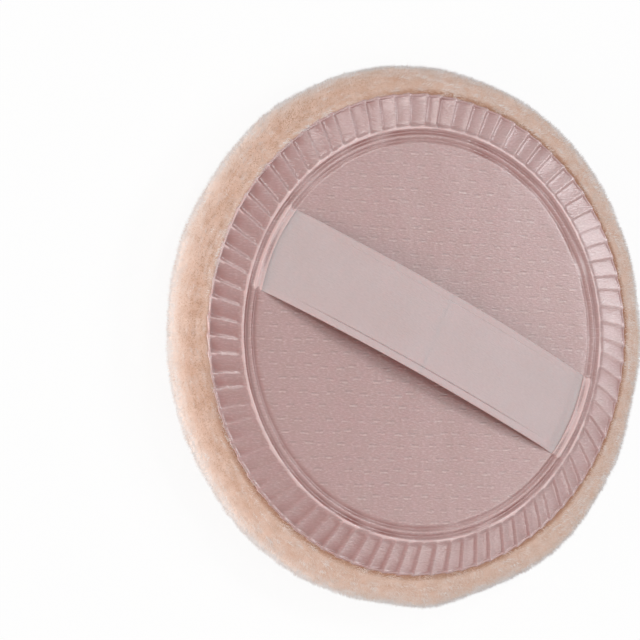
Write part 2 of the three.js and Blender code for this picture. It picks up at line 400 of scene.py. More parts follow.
def velour_skin():
    """The outside of the cover, from the hem's inner edge over the rim and down to the middle of the face."""
    across = np.linspace(SATIN_RADIUS, 0, 26)
    rim_rise = cover_high.z - WIDEST_HEIGHT + LIP_SWELL
    rim_drop = WIDEST_HEIGHT - face_height(SATIN_RADIUS) - PILE
    outline = np.concatenate([
        np.linspace((HEM_INNER_RADIUS, HEM_INNER_HEIGHT), (HEM_OUTER_RADIUS, HEM_OUTER_HEIGHT), 6),
        arc((LIP_RADIUS, WIDEST_HEIGHT), cover_high.x - LIP_RADIUS - PILE, rim_rise, 96, 0, 12),
        arc((SATIN_RADIUS, WIDEST_HEIGHT), RIM_REACH - PILE, rim_drop, 0, -90, 12)[1:-1],
        np.stack([across, face_height(across) + PILE], 1),
    ])
    skin = new_piece("velour_cover", *stitched(turned(outline, COVER_COLUMNS)))
    at = points_of(skin.data)
    held = (np.hypot(at[:, 0], at[:, 1]) < LIP_RADIUS - 0.3 * MM) & (at[:, 2] > WIDEST_HEIGHT)
    swollen(skin, held)
    skin.modifiers.new("finer", "SUBSURF").levels = 1
    baked_down(skin)
    at, out = points_of(skin.data), points_of(skin.data, "normal")
    soft = np.clip((LIP_RADIUS - np.hypot(at[:, 0], at[:, 1])) / MM, 0, 1) * (at[:, 2] > WIDEST_HEIGHT)
    lumps = 0.08 * MM * uneven(at, 13 * MM, 21) + 0.03 * MM * uneven(at, 2.2 * MM, 22)
    at += out * (lumps * (1 - soft))[:, None]
    around, radius = np.arctan2(at[:, 1], at[:, 0]), np.hypot(at[:, 0], at[:, 1])
    fuller = RIM_EASE + sum(height * round_bump(around, place, width) for place, width, height in RIM_BULGES)
    fuller = fuller * ramp(radius, LIP_RADIUS, cover_high.x - PILE)
    at[:, :2] *= 1 + (fuller / np.maximum(radius, MM))[:, None]
    at[:, 2] = np.maximum(at[:, 2], LEAST_CLEARANCE)
    set_points(skin.data, at)
    return skin


cover = velour_skin()
skin_points, skin_normals = points_of(cover.data), points_of(cover.data, "normal")
cover.data.calc_loop_triangles()
skin_triangles = np.array([triangle.vertices for triangle in cover.data.loop_triangles])
wall = cover.modifiers.new("backing", "SOLIDIFY")
wall.thickness = BACKING_THICKNESS
wall.offset = -1
baked_down(cover)
cover.data.materials.append(velour_finish())
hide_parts("plush_cover")
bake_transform(cover)


# Pile: the short peach nap of the velour, cut level and brushed. Its fibres stand out from the backing all
# over the rim and the face, lean in soft patches, and lap a little over the satin's edge.
STRAND_WIDTH = 0.05 * MM
ROOT_DEPTH = 0.12 * MM
FLOOR_CLEARANCE = 0.03 * MM
MATTED_AND_SHADED_WIDTH = 1.1 * MM
NAP_TURN = math.radians(6)
BRUSHED = np.array([math.cos(NAP_TURN), math.sin(NAP_TURN), 0])
NAP_LEAN = 0.3
TUFT_SIZE = 0.75 * MM
TUFT_STRETCH = 0.22
TUFT_LEAN = 0.3
PATCH_SIZE = 8 * MM
GRAIN_SIZE = 2 * MM
PATCH_LEAN = 0.15
STRAY_LEAN = 0.42
LONG_SHARE = 0.03
LONG_STRETCH = 1.35
# How near the satin's edge the fibres begin to lap over it, and where they lap fully.
LAP_WIDTHS = (0.9 * MM, 0.5 * MM)
LAP_PULL = 0.4
LAP_GROWTH = 0.1
# Where the weld mats the pile less, with less painted shade, and where the painted sheen on the rim's side is
# strongest: the place and the spread in degrees.
LOOSE_PLACE = (20, 45)
PAINTED_SHEEN_PLACE = (250, 40)
RIM_STRANDS = 49000
FACE_STRANDS = 49000


def pile_finish():
    """Fibres that grow paler to the tip; their darker roots are painted shade from deep in the pile, which
    the fibres don't cast. Their own map holds each one's tone across and its height up.
    """
    finish, tree, shader = new_finish(
        "velour pile",
        Roughness=0.9,
        Specular_IOR_Level=0.15,
        Sheen_Weight=0.12,
        Sheen_Roughness=0.4,
        Sheen_Tint=dyed(255, 242, 236),
        Subsurface_Weight=0.4,
        Subsurface_Radius=(1.0, 0.8, 0.7),
        Subsurface_Scale=0.3 * MM,
    )
    split = split_up(tree, put(tree, "ShaderNodeUVMap", {}, uv_map="OFBake").outputs["UV"])
    height = put(tree, "ShaderNodeValToRGB", {"Fac": split["Y"]})
    # Painted shade: the root end of the ramp is dark brown, for the shade deep in the pile.
    height.color_ramp.elements[0].color = dyed(168, 116, 88)
    height.color_ramp.elements[1].color = dyed(236, 225, 221)
    height.color_ramp.elements.new(0.4).color = dyed(224, 183, 158)
    height.color_ramp.elements.new(0.75).color = dyed(229, 210, 203)
    tinted = mixed(tree, split["X"], height.outputs["Color"], dyed(246, 236, 233))
    tree.links.new(tinted, shader.inputs["Base Color"])
    return finish


def scattered(wanted, count, draw):
    """Points spread evenly by area over the wanted triangles of the cover's skin, with their normals."""
    chosen = skin_triangles[wanted]
    a, b, c = (skin_points[chosen[:, corner]] for corner in range(3))
    area = np.linalg.norm(np.cross(b - a, c - a), axis=1)
    picked = draw.choice(len(chosen), count, p=area / area.sum())
    u, v = draw.random(count), draw.random(count)
    u, v = np.where(u + v > 1, 1 - u, u), np.where(u + v > 1, 1 - v, v)
    parts = np.stack([1 - u - v, u, v], 1)[:, :, None]
    return (skin_points[chosen[picked]] * parts).sum(1), (skin_normals[chosen[picked]] * parts).sum(1)


def unit(ways):
    """The same directions, each 1 long."""
    return ways / np.maximum(np.linalg.norm(ways, axis=1, keepdims=True), 1e-12)


def tufted(root, seed):
    """A smooth random field over the roots, in tufts drawn out round the rim."""
    radius, around = np.hypot(root[:, 0], root[:, 1]), np.arctan2(root[:, 1], root[:, 0])
    rolled = np.stack([radius, root[:, 2], TUFT_STRETCH * around * SATIN_RADIUS], 1)
    return uneven(rolled, TUFT_SIZE, seed)


def by_the_weld(root):
    """How far the weld mats the fibre at each root, which also darkens it as painted shade by the satin's
    edge, and how far it laps over the satin's edge.
    """
    radius, around = np.hypot(root[:, 0], root[:, 1]), np.arctan2(root[:, 1], root[:, 0])
    on_top = root[:, 2] > WIDEST_HEIGHT
    matted_and_shaded = ramp(radius, SATIN_RADIUS + MATTED_AND_SHADED_WIDTH, SATIN_RADIUS)
    matted_and_shaded *= np.clip(0.6 + 0.5 * uneven(root, 4 * MM, 63), 0, 1) * on_top
    lapping = round_bump(around, LAP_TURN, LAP_SPREAD)
    matted_and_shaded *= 1 - lapping - 0.4 * round_bump(around, *LOOSE_PLACE)
    lapped = lapping * ramp(radius, *(SATIN_RADIUS + width for width in LAP_WIDTHS))
    return matted_and_shaded, lapped * on_top


def combed(root, out, matted_and_shaded, lapped, draw):
    """The way each fibre points: brushed one way, leaning in patches and tufts, and a little astray."""
    around = np.arctan2(root[:, 1], root[:, 0])
    tangent = np.stack([-np.sin(around), np.cos(around), np.zeros(len(root))], 1)
    lean = np.stack([uneven(root, PATCH_SIZE, 31 + axis) for axis in range(3)], 1)
    grain = np.stack([uneven(root, GRAIN_SIZE, 41 + axis) for axis in range(3)], 1)
    pull = matted_and_shaded * (0.5 + 0.35 * uneven(root, 3 * MM, 64)) + LAP_PULL * lapped
    inward = unit(root * [-1, -1, 0]) * pull[:, None]
    way = out + inward + NAP_LEAN * BRUSHED + PATCH_LEAN * lean + PATCH_LEAN * grain
    way = way + tangent * (TUFT_LEAN * tufted(root, 66))[:, None]
    return unit(way + STRAY_LEAN * draw.normal(size=(len(root), 3)))


def tones(root, out, matted_and_shaded, lapped, draw):
    """Each fibre's tone and how pale its tip is. A painted sheen makes fibres on the rim's side and fibres
    laid over by the brush paler, and upright ones show their darker roots as painted shade."""
    around = np.arctan2(root[:, 1], root[:, 0])
    downwind = 0.5 + 0.5 * (unit(root * [1, 1, 0]) @ BRUSHED)
    # Painted sheen: fibres on the rim's side, most at one place, and fibres laid by the brush are made paler.
    side = ramp(out[:, 2], 0.75, -0.1) * ramp(out[:, 2], -0.95, -0.6)
    side *= 1 + 0.3 * round_bump(around, *PAINTED_SHEEN_PLACE)
    laid_sheen = ramp(downwind, 0.4, 0.9) * ramp(out[:, 2], 0.97, 0.6)
    upright_shade = ramp(downwind, 0.45, 0.05) * ramp(out[:, 2], 0.3, 0.9)
    upright_shade *= 1 - lapped
    patches = 0.08 * uneven(root, 5 * MM, 61)
    tone = 0.1 + 0.7 * side + 0.25 * laid_sheen + 0.5 * lapped + patches + 0.27 * tufted(root, 65)
    tone = np.clip(tone + 0.08 * draw.normal(size=len(root)), 0.03, 0.97)
    # Painted shade: matted fibres by the satin's edge, and upright ones, get darker tones and root colours.
    return tone * (1 - 0.7 * matted_and_shaded), (1 - 0.9 * matted_and_shaded) * (1 - 0.8 * upright_shade)


def pile(name, wanted, count, seed, finish):
    """One piece of closed three-sided fibres, each from a root in the backing to a fine tip."""
    draw = np.random.default_rng(seed)
    root, out = scattered(wanted, count, draw)
    out = unit(out)
    matted_and_shaded, lapped = by_the_weld(root)
    way = combed(root, out, matted_and_shaded, lapped, draw)
    cut = 1 + 0.04 * uneven(root, 3 * MM, 51) + 0.1 * tufted(root, 65) + 0.12 * draw.normal(size=count)
    length = PILE * cut
    length *= np.where(draw.random(count) < LONG_SHARE, LONG_STRETCH, 1.0) * (1 + LAP_GROWTH * lapped)
    tip = root + way * length[:, None]
    tip[:, 2] = np.maximum(tip[:, 2], FLOOR_CLEARANCE * (1 + draw.random(count)))
    width = unit(np.cross(way, draw.normal(size=(count, 3))))
    across = np.cross(way, width)
    foot = root - out * ROOT_DEPTH
    corners = [
        foot + STRAND_WIDTH * (width * math.cos(turn) + across * math.sin(turn))
        for turn in (0, 2 * math.pi / 3, 4 * math.pi / 3)
    ]
    points = np.stack([*corners, tip], 1).reshape(-1, 3)
    pattern = np.array([(0, 1, 3), (1, 2, 3), (2, 0, 3), (2, 1, 0)])
    faces = (4 * np.arange(count)[:, None, None] + pattern).reshape(-1, 3)
    mesh = bpy.data.meshes.new(name)
    mesh.from_pydata(points, [], faces)
    mesh.polygons.foreach_set("use_smooth", [True] * len(mesh.polygons))

    # The map keeps the corners of a root a little apart, so that every face has room on it.
    tone, tip_height = tones(root, out, matted_and_shaded, lapped, draw)
    along = np.stack([np.zeros(count), np.full(count, 0.03), np.zeros(count), tip_height], 1)
    place = np.stack([tone[:, None] + np.array([-0.02, 0, 0.02, 0]), along], 2)
    mapped = place.reshape(-1, 2)[faces.ravel()]
    mesh.uv_layers.new(name="OFBake").uv.foreach_set("vector", mapped.astype(np.float32).ravel())

    # The fibres are shaded much like the soft surface that they make together. Each is too fine to throw a
    # shadow or to colour its neighbours.
    turned_up = ramp(out[:, 2], 0.5, -0.1) * ramp(out[:, 2], -0.9, -0.4)
    soft = unit(out + 0.35 * way + 0.6 * turned_up[:, None] * [0, 0, 1])
    fibre = unit(points - foot.repeat(4, 0))
    fibre[3::4] = soft
    mesh.normals_split_custom_set_from_vertices(unit(soft.repeat(4, 0) + 0.8 * fibre))
    mesh.materials.append(finish)
    piece = bpy.data.objects.new(name, mesh)
    bpy.context.scene.collection.objects.link(piece)
    piece.visible_shadow = False
    piece.visible_diffuse = False
    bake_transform(piece)


middle = skin_points[skin_triangles].mean(1)
middle_radius = np.hypot(middle[:, 0], middle[:, 1])
on_hem = (middle[:, 2] > WIDEST_HEIGHT) & (middle_radius < SATIN_RADIUS)
on_rim_top = (middle[:, 2] > WIDEST_HEIGHT) & ~on_hem
on_rim_side = (middle[:, 2] <= WIDEST_HEIGHT) & (middle_radius > SATIN_RADIUS)
on_face = (middle[:, 2] <= WIDEST_HEIGHT) & (middle_radius <= SATIN_RADIUS)
velour_pile = pile_finish()
pile("pile_rim_top", on_rim_top, RIM_STRANDS, 71, velour_pile)
pile("pile_rim_side", on_rim_side, RIM_STRANDS, 72, velour_pile)
pile("pile_face", on_face, FACE_STRANDS, 73, velour_pile)


# Welding film: a thin milky sheet of thermoplastic laid between the satin and the hem. Heat and pressure
# melt it into both, and that is what holds the back on without thread.
def film_finish():
    finish, tree, shader = new_finish("welding film", Roughness=0.45, Specular_IOR_Level=0.45)
    place = place_of(tree)
    shades = {"Shade": dyed(224, 219, 214), "Second Shade": dyed(210, 203, 197)}
    cloud = use(tree, dye_patches, {"Place": place, "Patch Size": 4 * MM, **shades})
    tree.links.new(cloud["Color"], shader.inputs["Base Color"])
    bumped(tree, shader, cloud["Height"], 0.15 * MM)
    return finish


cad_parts["weld_film"].data.materials.clear()
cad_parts["weld_film"].data.materials.append(film_finish())


# Satin back: one round of dusty rose satin backed with thin foam. A heated die presses the double ring and
# the slanted flutes into it, seals its edge to a bead and welds it to the hem.
satin_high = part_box("satin_back")[1]
band_low, band_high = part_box("band_middle")
BAND_WIDTH = band_high.y - band_low.y
EDGE_HEIGHT = 9.1 * MM
BORDER_RISE = 0.8 * MM
BORDER_WIDTH = 5.3 * MM
RING_OUTER_RADIUS = SATIN_RADIUS - BORDER_WIDTH
FIELD_RADIUS = 28.3 * MM
FIELD_CROWN = satin_high.z - EDGE_HEIGHT - BORDER_RISE
SATIN_THICKNESS = 0.55 * MM
FLUTES = 83
FLUTE_DEPTH = 0.17 * MM
FLUTE_SLANT = 1.1 * MM
FLUTE_START = (0.2 * MM, 0.8 * MM)
PANEL_CURVE = 1.7
STEEP_SLANT = 1.4 * MM
STEEP_SHARE = 0.2
# Places round the back, each with its spread, in degrees: where the flutes slant more, are pressed less, end
# in deep pockets, and have a painted highlight on their outer ends.
STEEP_PLACE = (-5, 26)
SHALLOW_PLACES = ((42, 30), (240, 18))
POCKET_PLACE = (200, 55)
PAINTED_HIGHLIGHT_PLACE = (190, 40)
POCKET_DEPTH = 0.2 * MM
POCKET_REACH = 2.2 * MM
EDGE_BEAD = 0.3 * MM
SCALLOP_DEPTH = 0.2 * MM
SCALLOP_REACH = 1 * MM
# Heights of the pressed cloth at which it begins to darken and is darkest, with denser cloth and painted
# shade in the hollows, and heights at which a painted highlight begins to pale it and is palest.
SHADED_SUNK_HEIGHTS = (-0.03 * MM, -0.24 * MM)
HIGHLIGHT_HEIGHTS = (0.05 * MM, 0.12 * MM)
# Radius and depth of each groove, and radius, height and width of each ridge.
RING_GROOVES = ((28.68 * MM, 0.22 * MM), (29.83 * MM, 0.26 * MM))
GROOVE_WIDTH = 0.36 * MM
RING_RIDGES = ((29.25 * MM, 0.07 * MM, 0.3 * MM), (30.5 * MM, 0.13 * MM, 0.45 * MM))
RIBBON_STEP = 0.28 * MM
RIBBON_STEP_FOOT = (28.05 * MM, 28.22 * MM)
RIBBON_STEP_FADE = (30.3 * MM, 29.3 * MM)
# The sealed edge turns down in these steps, each a swell outwards and a fall.
BEAD_STEPS = ((0.09 * MM, 0.1 * MM), (0.12 * MM, 0.25 * MM), (0.08 * MM, 0.48 * MM))
WEAVE_TURN = math.radians(-24.3)
FLOAT_ROW = 1.88 * MM
FLOAT_STEP = 2.6 * MM
FLOAT_LENGTH = 1.5 * MM
FLOAT_ROW_START = 0.35
FLOAT_STAGGER = 0.37
# Where the columns of points lie across one flute, closest at its steep side.
COLUMN_SHARES = np.array([0, 0.04, 0.1, 0.2, 0.35, 0.5, 0.65, 0.76, 0.82, 0.88, 0.93, 0.97])
# Rings of points from the field's edge to the rim: the first radius, the last, and how many.
FINE_RINGS = (
    (26 * MM, 27.9 * MM, 6),
    (28.0 * MM, 28.3 * MM, 7),
    (28.4 * MM, 30.5 * MM, 20),
    (30.65 * MM, SATIN_RADIUS - 1 * MM, 15),
    (SATIN_RADIUS - 0.9 * MM, SATIN_RADIUS, 11),
)


def back_height(radius):
    """Height of the back before it is embossed: a crowned field, and a border that slopes to the edge."""
    climb = np.clip((SATIN_RADIUS - radius) / BORDER_WIDTH, 0, 1)
    crown = np.maximum(0, 1 - (radius / FIELD_RADIUS) ** 2)
    return EDGE_HEIGHT + BORDER_RISE * climb + FIELD_CROWN * crown


def ridge(value, centre, width):
    """1 at the centre, fading to 0 on both sides of it."""
    return np.exp(-(((value - centre) / width) ** 2))


def ring_relief(radius):
    """Height of the ring: two grooves that the die presses in, and the sharp ridges left beside them."""
    grooves = sum(depth * ridge(radius, centre, GROOVE_WIDTH) for centre, depth in RING_GROOVES)
    ridges = sum(rise * ridge(radius, centre, width) for centre, rise, width in RING_RIDGES)
    return ridges - grooves


def over_ribbon(at):
    """1 where the back lies over the ends of the ribbon, and 0 beside them."""
    return ramp(np.abs(at[:, 1]), BAND_WIDTH / 2 + 0.4 * MM, BAND_WIDTH / 2 - 0.3 * MM)


def ring_press(at):
    """Height of the ring at points. The die bites unevenly, and the ring steps up over the ribbon's ends."""
    radius = np.hypot(at[:, 0], at[:, 1])
    wear = 1 + 0.2 * uneven(at * [1, 1, 0], 6 * MM, 82)
    step = ramp(radius, *RIBBON_STEP_FOOT) * ramp(radius, *RIBBON_STEP_FADE)
    puckers = 0.015 * MM * uneven(at * [1, 1, 0], 9 * MM, 83)
    return wear * ring_relief(radius) + RIBBON_STEP * over_ribbon(at) * step + puckers


flute_draw = np.random.default_rng(81)
flute_press = 1 + 0.16 * flute_draw.normal(size=FLUTES)
flute_offset = 0.06 * flute_draw.normal(size=FLUTES)


def satin_ring(radius, columns, drop=0.0):
    """One ring of the satin's surface, embossed, or its plain underside where drop is set."""
    per_flute = columns // FLUTES if columns > 1 else 1
    shares = COLUMN_SHARES if per_flute == len(COLUMN_SHARES) else np.arange(per_flute) / per_flute
    flute = np.repeat(np.arange(FLUTES), per_flute) if columns > 1 else np.zeros(1, int)
    share = np.tile(shares, FLUTES) if columns > 1 else np.zeros(1)
    plain_angle = 2 * math.pi * (flute + share) / FLUTES
    turn = ramp(share, 0.2, 0.8)

    def own(values):
        """Each flute's own value, easing into its neighbour's."""
        return values[flute] * (1 - turn) + values[(flute + 1) % FLUTES] * turn

    # The flutes slant on their way out.
    outward = np.clip((radius - RING_OUTER_RADIUS) / BORDER_WIDTH, 0, 1)
    slant = FLUTE_SLANT + STEEP_SLANT * round_bump(plain_angle, *STEEP_PLACE)
    angle = plain_angle - outward * slant / SATIN_RADIUS
    angle = angle + 2 * math.pi / FLUTES * own(flute_offset) * ramp(outward, 0, 0.2)

    # Each is a panel that falls from one crease and climbs steeply to the next, pressed deepest at its end.
    fall = 1 - (1 - np.minimum(share / (1 - STEEP_SHARE), 1)) ** PANEL_CURVE
    panel = np.minimum(fall, ramp(share, 1, 1 - 1.2 * STEEP_SHARE))
    press = own(flute_press)
    press *= 1 - 0.5 * sum(round_bump(plain_angle, *place) for place in SHALLOW_PLACES)
    length = ramp(radius, *(RING_OUTER_RADIUS + width for width in FLUTE_START))
    length *= ramp(radius, SATIN_RADIUS - 0.3 * EDGE_BEAD, SATIN_RADIUS - EDGE_BEAD - 0.15 * MM)
    pocket = POCKET_DEPTH * ramp(radius, SATIN_RADIUS - POCKET_REACH, SATIN_RADIUS - EDGE_BEAD - 0.2 * MM)
    pocket = pocket * (0.2 + 0.8 * round_bump(plain_angle, *POCKET_PLACE))
    emboss = -length * press * panel * (FLUTE_DEPTH + pocket)
    edge = radius - SCALLOP_DEPTH * panel * ramp(radius, SATIN_RADIUS - SCALLOP_REACH, SATIN_RADIUS)
    at = np.stack([edge * np.cos(angle), edge * np.sin(angle), np.zeros(len(angle))], 1)
    relief = emboss + ring_press(at) + 0.006 * MM * uneven(at, 2.5 * MM, 84)
    at[:, 2] = back_height(radius) - drop + (relief if drop == 0 else 0)
    return at


def satin_weave():
    """Satin's floats: rows of short bright and dark dashes along the weft, over a fine grain."""
    colour, value, vector = "NodeSocketColor", "NodeSocketFloat", "NodeSocketVector"
    strengths = {"Float Strength": value, "Grain Strength": value}
    inputs = {"Place": vector, "Turn": value, **strengths, "Shade": colour}
    outputs = {"Color": colour, "Height": value, "Gloss": value}
    group, given, result = new_effect("satin weave", inputs, outputs)
    spin = {"Vector": given["Place"], "Angle": given["Turn"]}
    turned_place = put(group, "ShaderNodeVectorRotate", spin, rotation_type="Z_AXIS").outputs[0]
    split = split_up(group, turned_place)

    # Each row of floats is set off along the weft from the row before it.
    row = sums(group, "DIVIDE", split["Y"], FLOAT_ROW)
    row_number = sums(group, "FLOOR", sums(group, "ADD", row, FLOAT_ROW_START))
    stagger = sums(group, "MULTIPLY", row_number, FLOAT_STAGGER)
    step = sums(group, "ADD", sums(group, "DIVIDE", split["X"], FLOAT_STEP), stagger)
    grid = put(group, "ShaderNodeCombineXYZ", {"X": step, "Y": row}).outputs[0]
    spots = {"Vector": grid, "Scale": 1.0, "Randomness": 0.3}
    spots = put(group, "ShaderNodeTexVoronoi", spots, voronoi_dimensions="2D").outputs["Position"]
    away = split_up(group, vector_sums(group, "SUBTRACT", grid, spots)["Vector"])
    half_length = FLOAT_LENGTH / FLOAT_STEP / 2
    reach = ranged(group, sums(group, "ABSOLUTE", away["X"]), half_length, 0.7 * half_length)

    # Floats are worn away in patches and flattened on the pressed border.
    worn = ranged(group, cloudy(group, given["Place"], 2.2 * MM, 1.0), 0.22, 0.44)
    reach = sums(group, "MULTIPLY", reach, worn)
    from_middle = vector_sums(group, "LENGTH", given["Place"])["Value"]
    pressed = ranged(group, from_middle, FIELD_RADIUS, RING_OUTER_RADIUS + 2 * MM, 1.0, 0.4)
    reach = sums(group, "MULTIPLY", reach, pressed)

    def line(offset, width):
        """A thin line along every float, at an offset across it."""
        across = sums(group, "ADD", away["Y"], offset / FLOAT_ROW)
        across = sums(group, "DIVIDE", across, width / FLOAT_ROW)
        body = ranged(group, sums(group, "ABSOLUTE", across), 1.0, 0.3)
        return sums(group, "MULTIPLY", sums(group, "MULTIPLY", body, reach), given["Float Strength"])

    beads = ranged(group, cloudy(group, given["Place"], 0.5 * MM, 0.0), 0.25, 0.6)
    bright = sums(group, "MULTIPLY", line(0.05 * MM, 0.15 * MM), beads)
    bright = sums(group, "MULTIPLY", bright, 0.45)
    faint = sums(group, "MULTIPLY", line(0.3 * MM, 0.1 * MM), 0.4)
    dark = sums(group, "ADD", line(-0.2 * MM, 0.15 * MM), faint)
    dark = sums(group, "MULTIPLY", dark, 0.7)

    # The grain of single threads lightens and darkens the dye between the floats.
    stretch = (1 / (0.6 * MM), 1 / (0.2 * MM), 0.0)
    threads = vector_sums(group, "MULTIPLY", turned_place, stretch)["Vector"]
    grain = cloudy(group, threads, 1.0, 2.0)
    lit = sums(group, "MULTIPLY", ranged(group, grain, 0.5, 0.8), given["Grain Strength"])
    lit = sums(group, "ADD", lit, bright)
    dim = sums(group, "MULTIPLY", ranged(group, grain, 0.5, 0.2), given["Grain Strength"])
    dim = sums(group, "ADD", dim, dark)
    paler = mixed(group, lit, given["Shade"], (1.0, 0.8, 0.78, 1.0))
    group.links.new(mixed(group, dim, paler, (0.1, 0.035, 0.035, 1.0)), result["Color"])
    group.links.new(sums(group, "SUBTRACT", grain, dark), result["Height"])
    calendered = sums(group, "MULTIPLY", sums(group, "SUBTRACT", 1.0, pressed), 0.45)
    group.links.new(sums(group, "ADD", bright, calendered), result["Gloss"])
    return group


weave = satin_weave()


def satin_finish(name, turn, floats, grain, shade, second_shade, patch, roughness, gloss, see_through):
    """Woven satin, dyed in patches, with floats glossier than the gaps. Where the die sinks it the cloth is
    dense and darker, with painted shade in the hollows too, and on the ridges beside the ring, the sealed
    edge and some flute ends a painted highlight makes it pale."""
    finish, tree, shader = new_finish(
        name,
        IOR=1.7,
        Specular_IOR_Level=gloss,
        Sheen_Weight=0.1,
        Sheen_Roughness=0.35,
        Sheen_Tint=dyed(255, 236, 232),
        Subsurface_Weight=see_through,
        Subsurface_Radius=(1.0, 0.4, 0.35),
        Subsurface_Scale=1.2 * MM,
    )
    place = place_of(tree)
    shades = {"Shade": shade, "Second Shade": second_shade}
    dye = use(tree, dye_patches, {"Place": place, "Patch Size": patch, **shades})
    strengths = {"Float Strength": floats, "Grain Strength": grain}
    woven = use(tree, weave, {"Place": place, "Turn": turn, "Shade": dye["Color"], **strengths})
    relief = put(tree, "ShaderNodeAttribute", {}, attribute_name="relief").outputs["Fac"]
    # Painted shade and highlight: sunk cloth is mixed darker and redder, and raised ridges and the sealed
    # edge paler.
    sunk_shade = ranged(tree, relief, *SHADED_SUNK_HEIGHTS, highest=0.8)
    highlighted = ranged(tree, relief, *HIGHLIGHT_HEIGHTS, highest=0.6)
    pressed = mixed(tree, sunk_shade, woven["Color"], dyed(142, 74, 66))
    tree.links.new(mixed(tree, highlighted, pressed, dyed(228, 198, 196)), shader.inputs["Base Color"])
    sleek = sums(tree, "MULTIPLY", woven["Gloss"], -0.2)
    tree.links.new(sums(tree, "ADD", sleek, roughness), shader.inputs["Roughness"])
    bumped(tree, shader, woven["Height"], 0.04 * MM)
    return finish


def satin_back():
    """The embossed disc, from the middle out to the sealed edge and back under it."""
    fine = FLUTES * len(COLUMN_SHARES)
    surface = [(0, 1)]
    surface += [(radius * MM, FLUTES) for radius in (2, 4, 6.5)]
    surface += [(radius * MM, FLUTES * 4) for radius in (9, 11.5, 14, 16.5, 19, 21.5, 23.5, 25)]
    for start, stop, count in FINE_RINGS:
        surface += [(radius, fine) for radius in np.linspace(start, stop, count)]
    rings = [satin_ring(radius, columns) for radius, columns in surface]
    edge_bead = []
    for swell, fall in BEAD_STEPS:
        step = rings[-1].copy()
        step[:, :2] *= 1 + swell / SATIN_RADIUS
        step[:, 2] -= fall
        edge_bead.append(step)
    under = [(SATIN_RADIUS - 0.3 * MM, fine), (30 * MM, FLUTES * 4), (14 * MM, FLUTES), (0, 1)]
    rings += [*edge_bead, *(satin_ring(radius, columns, SATIN_THICKNESS) for radius, columns in under)]
    satin = new_piece("satin_disc", *stitched(rings))
    at = points_of(satin.data)
    radius = np.hypot(at[:, 0], at[:, 1])
    # Painted highlight: the sealed edge and the outer ends of some flutes are given a raised height, which
    # the finish paints pale.
    sealed = (radius > SATIN_RADIUS - 0.35 * MM) & (at[:, 2] < EDGE_HEIGHT - 0.05 * MM)
    relief = at[:, 2] - back_height(radius)
    painted_highlight_ends = ramp(radius, SATIN_RADIUS - 1.7 * MM, SATIN_RADIUS - 0.8 * MM)
    painted_highlight_ends *= ramp(relief, -0.09 * MM, -0.02 * MM)
    painted_highlight_ends *= round_bump(np.arctan2(at[:, 1], at[:, 0]), *PAINTED_HIGHLIGHT_PLACE)
    relief = np.where(sealed, HIGHLIGHT_HEIGHTS[1], relief * (1 - painted_highlight_ends) + 0.13 * MM * painted_highlight_ends)
    pressed = satin.data.attributes.new("relief", "FLOAT", "POINT")
    pressed.data.foreach_set("value", relief.astype(np.float32))
    rose_satin = satin_finish(
        "dusty rose satin",
        turn=WEAVE_TURN,
        floats=0.4,
        grain=0.16,
        shade=dyed(165, 120, 118),
        second_shade=dyed(161, 119, 114),
        patch=2.2 * MM,
        roughness=0.37,
        gloss=1.0,
        see_through=0.4,
    )
    satin.data.materials.append(rose_satin)
    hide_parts("satin_back")
    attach(satin, "back")


satin_back()


# Finger band: a length of paler satin ribbon with both long edges folded under. Its ends are trapped under
# the ring when the back is pressed, and it bows up between them so that fingers slide in.
BAND_END_RADIUS = 28.95 * MM
BAND_BODY = 0.3 * MM
HEM_FOLD = 1.0 * MM
HEM_RISE = 0.1 * MM
CREASE_DEPTHS = (0.13 * MM, 0.04 * MM)
CREASE_WIDTH = 0.07 * MM
BAND_STATIONS = 70
# Where the lines of points lie in from each long edge, in millimetres, closest at the hem's crease.
BAND_INSETS = np.array([
    *(0, 0.03, 0.08, 0.15, 0.25, 0.4, 0.6, 0.8, 0.92),
    *np.arange(0.98, 1.24, 0.03),
    *(1.3, 1.4, 1.6, 1.9),
])
BAND_CREST = band_high.z - 0.05 * MM
BAND_FOOT = EDGE_HEIGHT + BORDER_RISE + 0.05 * MM
TUCK_START = 26.0 * MM
TUCK_END = 28.1 * MM
TUCK_DIVE = 0.5 * MM
BAND_SKIN = 0.07 * MM


def band_section():
    """The ribbon's cross-section as a loop: across, height, and the depth of the hem's crease."""
    half = BAND_WIDTH / 2
    inset = np.concatenate([BAND_INSETS * MM, np.linspace(BAND_INSETS[-1] * MM, half, 12)[1:]])
    across = np.concatenate([inset - half, (half - inset)[-2::-1]])
    inward = half - np.abs(across)
    crease = np.where(across < 0, CREASE_DEPTHS[0], CREASE_DEPTHS[1])
    crease = crease * ridge(inward, 1.1 * HEM_FOLD, CREASE_WIDTH)
    edge = 0.12 * MM * ramp(inward, 0.2 * MM, 0)
    top = HEM_RISE * np.clip(1 - inward / HEM_FOLD, 0, 1) - edge
    upper = np.stack([across, top, crease], 1)
    lower = np.stack([across, edge - BAND_BODY, np.zeros(len(across))], 1)[::-1]
    return np.concatenate([upper, lower])


